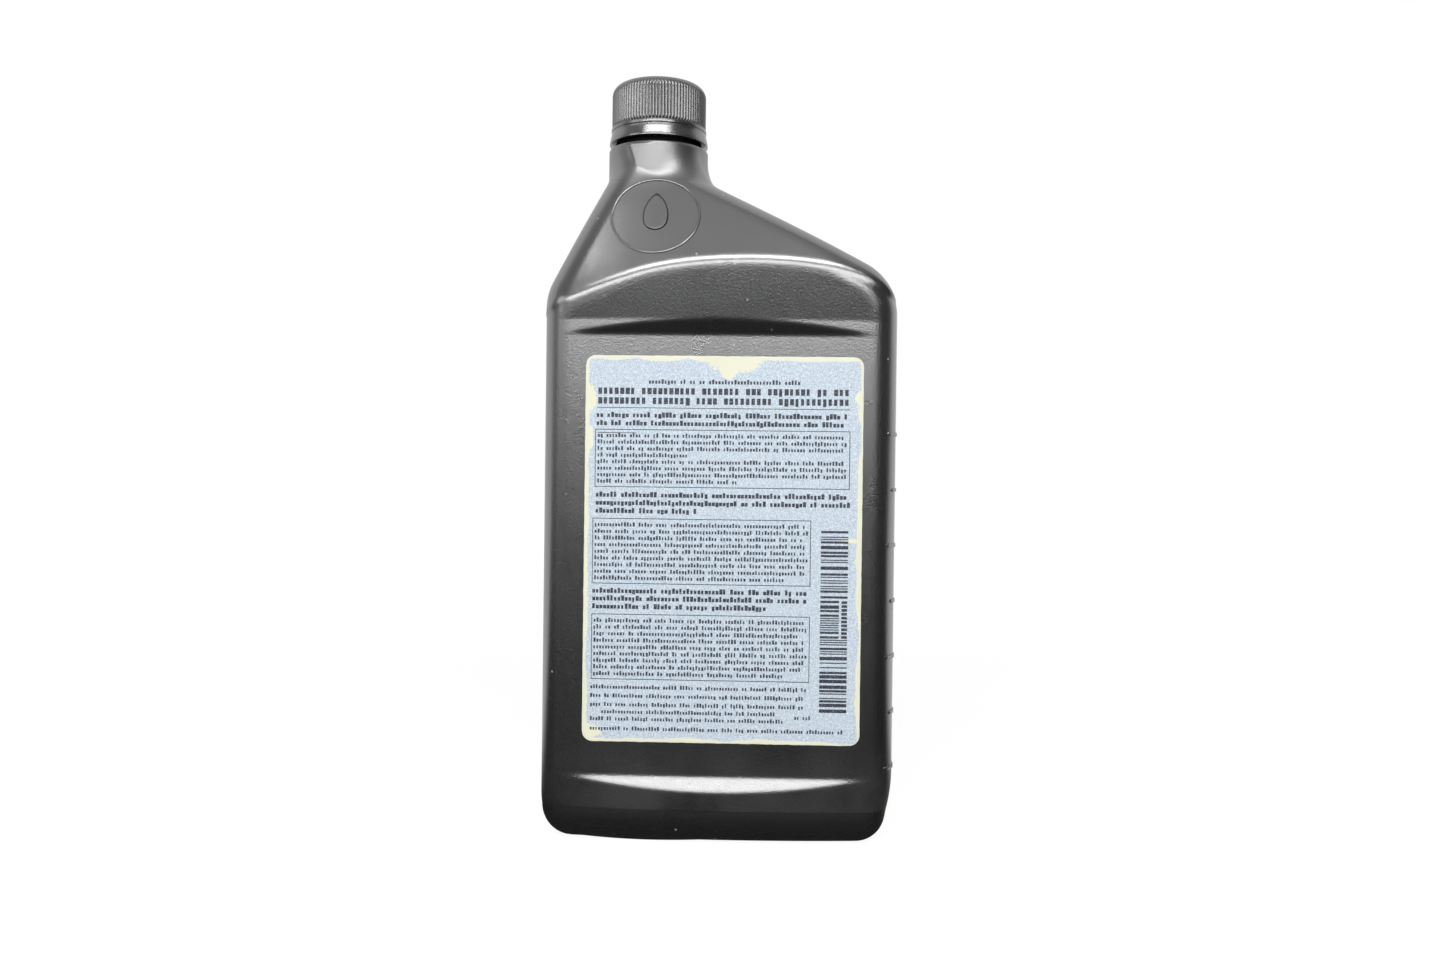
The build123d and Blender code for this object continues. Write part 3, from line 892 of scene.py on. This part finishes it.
def finish_rings(neck):
    """The shelf's edge, the land, the bead, the wall with its thread, the mouth and the bore, turned about the neck."""
    turn = np.linspace(0, np.pi / 2, 6)
    shelf_r, shelf_z = neck.r - neck.lip_r, neck.top - neck.lip_r
    lip = np.stack([shelf_r + neck.lip_r * np.cos(turn), shelf_z + neck.lip_r * np.sin(turn)], 1)
    profile = bend(
        (neck.land_r, neck.top, 0.0003, 4),
        (neck.land_r, neck.land_top, 0.0002, 3),
        (neck.waist_r, neck.land_top, 0.0002, 3),
        (neck.waist_r, neck.bead_low, 0.0002, 3),
        (neck.bead_r, neck.bead_low + 0.00045, 0.0002, 3),
        (neck.bead_r, neck.bead_high - 0.00045, 0.0002, 3),
        (neck.finish_r, neck.bead_high, 0.0002, 3),
        (neck.finish_r, neck.finish_top, 0.0006, 5),
        (neck.bore_r, neck.finish_top, 0.0003, 4),
        (neck.bore_r, neck.bore_low, 0, 0),
        (neck.throat_r, neck.throat_top, 0, 0),
    )
    first = np.argmax(profile[:, 1] > neck.bead_high + 1e-5)
    threaded = fill(profile[first - 1 : -2], 0.00028)[1:]
    r, z = np.concatenate([lip, profile[:first], threaded, profile[-2:]]).T[..., None]
    t = angles(COLUMNS)
    ridge = thread_height(neck, t, z, neck.thread_turns, neck.thread_z)
    on_wall = (z > neck.bead_high) & (r > neck.finish_r - 0.0007)
    return turned(neck.x, r + neck.thread_rise * ridge * on_wall, z, t)


def inner_rings(s, neck):
    """The inside: the moulding less its thickness, joined to the throat, down to a floor over the push-up."""
    spans = ((neck.throat_top - 0.001, 0.16, 22), (0.157, 0.150, 5), (0.13, 0.0045, 14))
    heights = np.concatenate([np.linspace(*span) for span in spans])
    throat = neck.throat_r

    def hollow(x, y, z):
        return np.maximum(moulding_inside(s, x, y, z)[0] - s.wall, throat - np.hypot(x - neck.x, y))

    walls = cast(hollow, *ray_fan(s, neck, heights))
    fall = heights[-1] - s.wall
    levels = ((0.97, -0.0020), (0.9, -0.0032), (0.82, -fall), (0.62, s.push_up - fall), (0.3, s.push_up - fall))
    return np.concatenate([walls, *(shrunk(walls[:, -1:], share, lift) for share, lift in levels)], 1)


class BOTTLE_OT_body(bpy.types.Operator):
    """Builds the hollow bottle: its skin, neck, screw finish, bore and inner wall as one closed surface"""

    bl_idname = "bottle.body"
    bl_label = "Bottle"

    def execute(self, context):
        s, neck = context.scene.bottle_body, context.scene.bottle_neck
        start, step = ray_fan(s, neck, skin_heights(s, neck))
        skin = cast(lambda x, y, z: skin_inside(s, neck, x, y, z), start, step)
        skin[2, 0] = 0
        base = base_rings(s, skin[:, :1], step[:, :1])
        rings = np.concatenate([base, skin, finish_rings(neck), inner_rings(s, neck)], 1)
        piece = ring_piece("bottle_skin", rings)

        x, y, z = rings
        face, _, shoulder, _ = face_walls(s, x, np.abs(y), z)
        wall, _ = outline_walls(s, x, z)
        below_arch = fade(shoulder - face, 0, 0.0015)
        grained = below_arch * fade(wall, 0.0016, 0.0056)
        add_mask(piece, "face_grain", np.maximum(grained, 0.25 * fade(z, 0.200, 0.204)))
        # The land above the shelf, masked for painted shade: the plastic turns its reflection off
        land = (z > neck.top - 1e-5) & (z < neck.land_top + 2e-5) & (np.hypot(x - neck.x, y) < neck.land_r + 0.0008)
        add_mask(piece, "land_painted_shade", land * 1.0)
        add_mask(piece, "crown_lean", below_arch * fade(z, 0.1565, 0.1575) * fade(wall, 0, 0.01))
        keep(piece, "bottle", "bottle_plastic", blown_plastic(context.scene.bottle_finishes), "bottle")
        return {"FINISHED"}


class BOTTLE_OT_relief(bpy.types.Operator):
    """Raises a thin ring and a plain drop on the shoulder"""

    bl_idname = "bottle.relief"
    bl_label = "Raised ring and drop"

    def execute(self, context):
        relief, s = context.scene.bottle_relief, context.scene.bottle_body
        rise = s.peak_z - s.rule_low_z
        tilt = rise / math.hypot(rise, s.rule_low_depth - s.rule_high_depth)
        material = blown_plastic(context.scene.bottle_finishes, stripe=False)

        def lay(name, u, v, height, loop=False):
            """Lays flat places (u, v) of the emblem on the skin and lifts each by its height."""
            start = places(relief.ring_x + u, 0.0, relief.ring_z + v * tilt)
            piece = ring_piece(name, raised(context, start, (0, -1, 0), height), loop)
            keep(piece, "bottle", "bottle_plastic", material)

        t, a = angles(288), angles(14)[:, None]
        across = relief.ring_r - relief.ring_line / 2 * (1 - np.cos(a))
        height = relief.raised * (0.5 + 0.62 * np.sin(a)) - 0.00006
        lay("bottle_ring", across * np.cos(t), across * np.sin(t), height, loop=True)

        # The drop's outline is a circle drawn out to a tip where t is a quarter turn
        t = angles(180) + np.pi / 2
        tip = relief.drop_tip + relief.drop_r / 2
        off_tip = np.abs((t - np.pi / 2 + np.pi) % TURN - np.pi) / np.pi
        edge = relief.drop_r + (tip - relief.drop_r) * np.exp(-((off_tip / 0.20) ** 1.25))
        levels = bend((0.02, 1.0, 0, 0), (0.87, 1.0, 0.07, 6), (1.0, -0.25, 0, 0))
        levels = np.concatenate([fill(levels[:2], 0.12), levels[2:], [[0.9, -0.5], [0.3, -0.5]]])
        size, level = levels.T[..., None]
        v = edge * size * np.sin(t) - relief.drop_r / 2
        lay("bottle_drop", edge * size * np.cos(t), v, relief.raised * level)
        return {"FINISHED"}


class BOTTLE_OT_graduations(bpy.types.Operator):
    """Raises the graduations round the right front corner"""

    bl_idname = "bottle.graduations"
    bl_label = "Graduations"

    def execute(self, context):
        relief = context.scene.bottle_relief
        middle, half_y = (relief.mark_from_y + relief.mark_to_y) / 2, (relief.mark_to_y - relief.mark_from_y) / 2
        r = relief.mark_high / 2
        levels = bend((0.05, 1.0, 0, 0), (0.9, 1.0, 0.08, 5), (1.0, -0.4, 0, 0))
        size, level = np.concatenate([levels, [[0.5, -0.6]]]).T[..., None]
        t = angles(64)
        square = np.maximum(np.abs(np.cos(t)), np.abs(np.sin(t))) * 0.7 + 0.3
        material = blown_plastic(context.scene.bottle_finishes, stripe=False)
        for k in range(relief.marks):
            long = half_y if k % 2 == 0 else 0.7 * half_y
            u = (long - r) * np.clip(1.3 * np.cos(t), -1, 1) + r * np.cos(t) / square
            z = relief.mark_low + relief.mark_step * k + size * r * np.sin(t) / square
            rings = raised(context, places(0.03, middle + size * u, z), (1, 0, 0), relief.raised * level)
            keep(ring_piece(f"bottle_graduation_{k + 1}", rings), "bottle", "bottle_plastic", material)
        return {"FINISHED"}


class BOTTLE_OT_cap(bpy.types.Operator):
    """Builds the ribbed screw cap with the thread inside it"""

    bl_idname = "bottle.cap"
    bl_label = "Cap"

    def execute(self, context):
        c, neck = context.scene.bottle_cap, context.scene.bottle_neck
        roof_z, root = c.top - c.roof, c.r - c.rib_depth
        dome_x, dome_z = c.r - c.dome_r, c.top - c.dome_r
        inside = fill(bend((0.002, roof_z, 0, 0), (c.bore_r, roof_z, 0.0004, 4), (c.bore_r, c.low, 0, 0)), 0.0003)
        skirt = bend(
            (c.bore_r + 0.0003, c.low, 0, 0),
            (c.flange_r, c.low, 0.00004, 3),
            (c.flange_r, c.flange_top, 0.00022, 5),
            (root, c.flange_top, 0, 0),
        )
        side = np.stack([np.full(16, root), np.linspace(c.flange_top + 0.00012, dome_z, 16)], 1)
        turn = np.linspace(0.06, 1, 18) * np.pi / 2
        dome = np.stack([dome_x + c.dome_r * np.cos(turn), dome_z + c.dome_r * np.sin(turn)], 1)
        lid = np.stack([np.linspace(dome_x, 0.001, 8)[1:], np.full(7, c.top)], 1)
        r, z = np.concatenate([inside, skirt, side, dome, lid]).T[..., None]
        row = np.arange(len(r))[:, None]
        first = len(inside) + len(skirt)
        ribbed = (row >= first) & (row < first + len(side) + len(dome))

        # Between the ribs the wall stays at their root, and over the dome both run together
        t = angles(c.ribs * 8)
        wave = np.abs(np.cos(c.ribs / 2 * t))
        grown = fade(z, c.flange_top, c.flange_top + 0.0004)
        crest = np.where(z > dome_z, r, c.r)
        valley = np.minimum(crest, root)
        wall = np.where(ribbed, valley + (crest - valley) * wave * grown, r)
        start_z = neck.thread_z - c.thread_apart + neck.pitch * c.thread_skip
        ridge = thread_height(neck, t, z, c.thread_turns, start_z, c.thread_skip * TURN)
        wall = wall - c.thread_rise * ridge * ((row < len(inside)) & (r > c.bore_r - 0.0003))
        piece = ring_piece("cap_shell", turned(neck.x, wall, z, t))
        add_mask(piece, "rib_valley", (1 - wave) * grown * ribbed)
        keep(piece, "cap", "cap_plastic", cap_plastic(context.scene.bottle_finishes), "cap")
        return {"FINISHED"}


class BOTTLE_OT_liner(bpy.types.Operator):
    """Builds the sealing disc with its soft edge"""

    bl_idname = "bottle.liner"
    bl_label = "Sealing disc"

    def execute(self, context):
        c, neck = context.scene.bottle_cap, context.scene.bottle_neck
        low, high = neck.finish_top, neck.finish_top + c.liner_thick
        profile = bend(
            (0.001, low, 0, 0), (c.liner_r, low, 0.00025, 4), (c.liner_r, high, 0.00025, 4), (0.001, high, 0, 0)
        )
        rings = turned(neck.x, *fill(profile, 0.0012).T[..., None], angles(180))
        material = liner_foam(context.scene.bottle_finishes)
        keep(ring_piece("cap_liner_disc", rings), "liner", "liner_foam", material, "cap_liner")
        return {"FINISHED"}


class BOTTLE_OT_band(bpy.types.Operator):
    """Builds the tamper band with its lip, its catch and the stubs of its broken bridges"""

    bl_idname = "bottle.band"
    bl_label = "Tamper band"

    def execute(self, context):
        c, neck = context.scene.bottle_cap, context.scene.bottle_neck
        profile = bend(
            (c.band_bore_r, c.catch_top, 0, 0),
            (c.catch_r, c.catch_flat, 0.0001, 3),
            (c.catch_r, c.band_low, 0.0001, 3),
            (c.band_lip_r, c.band_low, 0.00010, 4),
            (c.band_lip_r, c.band_lip_low, 0.00030, 4),
            (c.band_r, c.band_lip_high, 0.00035, 4),
            (c.band_r, c.band_top, 0.00004, 3),
            (c.band_bore_r, c.band_top, 0.00012, 4),
            (c.band_bore_r, c.catch_top + 0.0003, 0, 0),
        )
        r, z = fill(profile, 0.0003).T[..., None]
        t = angles(480)
        stub = fade(np.cos(c.stubs * t), 0.90, 0.92) * (z > c.band_top - 1e-6)
        piece = ring_piece("tamper_ring", turned(neck.x, r, z + c.stub_rise * stub, t), loop=True)
        keep(piece, "bottle", "cap_plastic", cap_plastic(context.scene.bottle_finishes), "tamper_band")
        return {"FINISHED"}


class BOTTLE_OT_label(bpy.types.Operator):
    """Builds the film label and its greeked print"""

    bl_idname = "bottle.label"
    bl_label = "Label"

    def execute(self, context):
        s, label, f = context.scene.bottle_body, context.scene.bottle_label, context.scene.bottle_finishes
        t = angles(480)
        step = places(label.wide * np.cos(t), label.high * np.sin(t), 0.0)[:, None]
        step = step / np.sqrt((step**2).sum(0))
        edge = rounded_box(label.wide / 2, label.high / 2, label.corner, step)[:, 0]
        ragged = 1 - 0.0012 * (np.sin(37 * t) + np.sin(61 * t + 1) + np.sin(113 * t + 2)) / 3
        size = np.concatenate([np.linspace(0.02, 0.99, 30), [0.998, 1.0, 1.0, 0.6, 0.1]])[:, None]
        back, front = -s.panel + FILM_ROOT, -s.panel - label.thick
        depth = np.concatenate([np.full(31, front), [front + 0.00004, back, back, back]])[:, None]
        grow = size * np.where(size > 0.98, ragged, 1)
        rings = places(label.x + grow * edge[0], depth, label.low + label.high / 2 + grow * edge[1])
        keep(ring_piece("label_film", rings), "bottle", "label_film", label_film(f, label), "label")
        keep(self.print_blocks(label, front), "bottle", "label_film", label_ink(f))
        return {"FINISHED"}

    @staticmethod
    def print_blocks(label, front):
        """The print as flat raised blocks: rows of letter-sized blocks, frames, a rule and a stack of bars.

        Places are measured in millimetres from the label's upper left corner, to the right and down.
        """
        dice = np.random.default_rng(17)
        blocks = []
        small, middling, large = (1.25, 0.60), (1.55, 0.74), (1.9, 0.66)  # Height of a line, share that is ink
        gap_share, tall_share, tail_from = 0.17, 0.28, 0.93

        def block(left, right, top, low):
            """Adds blocks given by their edges, each a number or an array."""
            blocks.append(np.stack(np.broadcast_arrays(left, right, top, low), -1).reshape(-1, 4) + 0.0)

        def line(down, left, right, tall, heavy, capitals=False):
            """A row of letter-sized blocks with gaps for the words, cut off at its right end."""
            pace = tall * (0.86 if capitals else 0.70)
            at = np.arange(left, right - 0.6 * pace, pace)
            gap = dice.random(len(at)) < gap_share
            gap[0] = False
            gap &= ~np.concatenate([[True, True], gap[:-2] | gap[1:-1]])
            at = at[~gap]
            wide = pace * heavy * (0.8 + 0.4 * dice.random(len(at)))
            kind = dice.random(len(at))
            top = np.where(capitals | (kind < tall_share), down - tall / 2, down - tall * 0.2)
            block(at, at + wide, top, down + tall / 2 * np.where(kind > tail_from, 1.4, 1.0))

        def frame_box(left, right, top, low, thin=0.22):
            """A thin rectangle."""
            block(left, right, top, top + thin)
            block(left, right, low - thin, low)
            block(left, left + thin, top, low)
            block(right - thin, right, top, low)

        line(7.7, 18.9, 64.0, 1.35, 0.62)
        line(10.6, 3.8, 78.6, *large, capitals=True)
        line(13.5, 3.8, 78.9, *large, capitals=True)
        block(3.6, 79.0, 15.5, 15.7)
        for down, right in ((17.7, 78.3), (20.1, 77.8), (41.5, 78.4), (43.9, 79.0), (46.3, 33.5)):
            line(down, 3.4, right, *middling)
        for down, right in ((70.2, 67.3), (72.5, 67.0), (74.9, 55.0)):
            line(down, 2.7, right, *middling)
        frame_box(3.0, 79.0, 22.0, 39.3)
        for k, right in enumerate((78.0, 78.4, 77.6, 31.0, 77.4, 78.2, 77.9, 46.0)):
            line(23.8 + 1.95 * k, 3.8, right, *small)
        for top in (48.6, 77.2):
            frame_box(2.5, 67.7, top, top + 19.6)
            for k, right in enumerate((66.6, 66.9, 65.8, 66.7, 66.2, 66.8, 65.9, 66.4, 60.5)):
                line(top + 1.85 + 1.99 * k, 3.2, right, *small)
        downs = (99.0, 101.6, 104.2, 106.4, 107.3, 108.5, 111.4)
        lefts = (2.4, 2.4, 2.4, 5.8, 63.4, 2.4, 2.4)
        rights = (66.9, 67.2, 66.7, 57.9, 68.2, 60.6, 78.0)
        for down, left, right in zip(downs, lefts, rights):
            line(down, left, right, 1.2, 0.60)
        for wide in (3.8, 11.6):
            block(3.8, 3.8 + wide, 23.0, 23.2)

        # The stack of bars, each as high as one to three steps, shorter beside a column of small blocks
        bar_step = 0.34
        edges = 50.9 + np.cumsum(bar_step * dice.choice((1, 1, 2, 3), 400))
        edges = edges[edges < 106.3]
        top, low = edges[0 : len(edges) // 2 * 2 : 2], edges[1::2]
        block(70.7, np.where((low > 72.0) & (top < 83.4), 76.3, 78.8), top, low)
        down = np.arange(72.4, 83.0, 1.15)
        block(77.0, 78.7, down, down + 0.8)

        edges = np.concatenate(blocks) / 1000
        edges[:, :2] += label.x - label.wide / 2
        edges[:, 2:] = label.low + label.high - edges[:, 2:]
        left, right, top, low = edges.T[..., None]
        near, far = front - INK_HEIGHT, front + INK_ROOT
        corner = np.array([(0, 0, 0), (1, 0, 0), (1, 1, 0), (0, 1, 0), (0, 0, 1), (1, 0, 1), (1, 1, 1), (0, 1, 1)]).T
        points = places(
            np.where(corner[0], right, left), np.where(corner[2], far, near), np.where(corner[1], top, low)
        )
        sides = np.array([(0, 1, 2, 3), (5, 4, 7, 6), (4, 5, 1, 0), (1, 5, 6, 2), (2, 6, 7, 3), (4, 0, 3, 7)])
        quads = (np.arange(len(left))[:, None, None] * 8 + sides).reshape(-1, 4)
        return mesh_piece("label_print", points.reshape(3, -1).T, quads.tolist(), flat=True)


class BOTTLE_OT_stage(bpy.types.Operator):
    """Sets the floor, the lamps and the camera"""

    bl_idname = "bottle.stage"
    bl_label = "Stage"

    def execute(self, context):
        stage, scene = context.scene.bottle_stage, context.scene
        scene.view_settings.view_transform = "Standard"

        rows = 8
        x, y = np.meshgrid(*[np.linspace(-3.0, 3.0, rows)] * 2)
        corner = (np.arange(rows - 1)[:, None] * rows + np.arange(rows - 1)).ravel()
        quads = np.stack([corner, corner + 1, corner + rows + 1, corner + rows], -1)
        floor = mesh_piece("floor", places(x, y, 0.0).reshape(3, -1).T, quads.tolist(), flat=True)
        floor.data.materials.append(self.floor_material(stage))
        self.room(scene, stage)

        def hold(name, data, place, turn):
            """Puts a lamp or a camera at a place, turned by a matrix."""
            holder = bpy.data.objects.new(name, data)
            holder.matrix_world = Matrix.Translation(place) @ turn
            scene.collection.objects.link(holder)
            return holder

        aim = Vector((0.0, 0.0, 0.15))
        for name, place, size, power in (
            ("key", (0.0, -0.97, 1.02), (1.2, 0.19), stage.key),
            ("strip", (0.0, -0.80, 0.40), (1.2, 0.17), stage.strip),
            ("fill", (-0.98, -0.72, 0.48), (0.5, 0.5), stage.fill),
            ("overhead", (0.0, -0.42, 1.30), (0.9, 0.5), stage.top),
        ):
            lamp = bpy.data.lights.new(name, "AREA")
            lamp.shape = "RECTANGLE"
            lamp.size, lamp.size_y = size
            lamp.energy = power
            hold(name, lamp, place, (Vector(place) - aim).to_track_quat("Z", "Y").to_matrix().to_4x4())

        camera = bpy.data.cameras.new("camera")
        camera.lens = stage.lens
        camera.sensor_width = 36
        camera.clip_start = 0.01
        turn = Matrix.Rotation(stage.yaw, 4, "Z") @ Matrix.Rotation(math.pi / 2 + stage.pitch, 4, "X")
        scene.camera = hold("camera", camera, stage.camera, turn @ Matrix.Rotation(stage.roll, 4, "Z"))
        return {"FINISHED"}

    @staticmethod
    def floor_material(stage):
        """White floor that keeps a soft shadow: mostly plain white to the camera, dim in front of it in reflections."""
        material = bpy.data.materials.new("Floor")
        tree = empty_tree(material)
        ray = tree.nodes.new("ShaderNodeLightPath").outputs
        seen = maths(tree, "MAXIMUM", ray["Is Camera Ray"], ray["Is Transmission Ray"])
        shown = maths(tree, "MAXIMUM", seen, ray["Is Glossy Ray"])
        place = tree.nodes.new("ShaderNodeTexCoord").outputs["Object"]
        far = vector_maths(tree, "LENGTH", place)["Value"]
        plain = product(tree, seen, ramp_between(tree, far, 0.3, 0.9, 1.16, 1.26))
        level = maths(tree, "MAXIMUM", plain, ramp_between(tree, split(tree, place)[1], 0.0, 0.12, stage.dim, 1.06))
        matt = put(tree, "ShaderNodeBsdfDiffuse", {"Color": (0.9, 0.9, 0.9, 1)}).outputs[0]
        white = put(tree, "ShaderNodeEmission", {"Color": (1, 1, 1, 1), "Strength": level}).outputs[0]
        cover = maths(tree, "SUBTRACT", shown, product(tree, seen, 0.2))
        mixed = put(tree, "ShaderNodeMixShader", {0: cover, 1: matt, 2: white}).outputs[0]
        put(tree, "ShaderNodeOutputMaterial", {"Surface": mixed})
        return material

    @staticmethod
    def room(scene, stage):
        """White walls to the camera. In reflections they are white behind the bottle and dim behind the camera."""
        scene.world = bpy.data.worlds.new("Room")
        tree = empty_tree(scene.world)
        ray = tree.nodes.new("ShaderNodeLightPath").outputs
        way = split(tree, tree.nodes.new("ShaderNodeTexCoord").outputs["Generated"])
        held_back = product(tree, maths(tree, "MAXIMUM", way[0], 0.0), 0.3)
        behind = ramp_between(tree, maths(tree, "SUBTRACT", way[1], held_back), -0.35, 0.25)
        above = ramp_between(tree, way[2], 0.45, 0.95, 0.0, 0.42)
        left = ramp_between(tree, way[0], -0.4, -0.95, 0.0, 0.35)
        right = ramp_between(tree, way[0], 0.5, 0.95, 0.0, 0.05)
        front = total(tree, left, right, above, stage.dim)
        mirrored = maths(tree, "MINIMUM", maths(tree, "MAXIMUM", behind, front), 1.0)
        seen = maths(tree, "MAXIMUM", ray["Is Camera Ray"], ray["Is Transmission Ray"])
        level = maths(tree, "MAXIMUM", seen, product(tree, ray["Is Glossy Ray"], mirrored))
        level = maths(tree, "MAXIMUM", level, stage.sky)
        glow = put(tree, "ShaderNodeBackground", {"Color": (1, 1, 1, 1), "Strength": level}).outputs[0]
        put(tree, "ShaderNodeOutputWorld", {"Surface": glow})


GROUPS = (
    ("bottle_body", BottleBodySizes),
    ("bottle_neck", BottleNeckSizes),
    ("bottle_cap", BottleCapSizes),
    ("bottle_relief", BottleReliefSizes),
    ("bottle_label", BottleLabelSizes),
    ("bottle_finishes", BottleFinishes),
    ("bottle_stage", BottleStage),
)
OPERATORS = (
    BOTTLE_OT_body,
    BOTTLE_OT_relief,
    BOTTLE_OT_graduations,
    BOTTLE_OT_cap,
    BOTTLE_OT_liner,
    BOTTLE_OT_band,
    BOTTLE_OT_label,
    BOTTLE_OT_stage,
)


class BOTTLE_PT_sidebar(bpy.types.Panel):
    """Lists the bottle's sizes, colours and pieces"""

    bl_label = "Bottle"
    bl_idname = "BOTTLE_PT_sidebar"
    bl_space_type = "VIEW_3D"
    bl_region_type = "UI"
    bl_category = "Bottle"

    def draw(self, context):
        for name, group in GROUPS:
            box = self.layout.box()
            box.label(text=group.__doc__)
            for prop in group.__annotations__:
                box.prop(getattr(context.scene, name), prop)
        for operator in OPERATORS:
            self.layout.operator(operator.bl_idname)


def register():
    for name, group in GROUPS:
        bpy.utils.register_class(group)
        setattr(bpy.types.Scene, name, PointerProperty(type=group))
    for operator in (*OPERATORS, BOTTLE_PT_sidebar):
        bpy.utils.register_class(operator)


def unregister():
    for operator in (BOTTLE_PT_sidebar, *reversed(OPERATORS)):
        bpy.utils.unregister_class(operator)
    for name, group in reversed(GROUPS):
        delattr(bpy.types.Scene, name)
        bpy.utils.unregister_class(group)


def main():
    register()
    for operator in OPERATORS:
        family, name = operator.bl_idname.split(".")
        getattr(getattr(bpy.ops, family), name)()


if __name__ == "__main__":
    main()
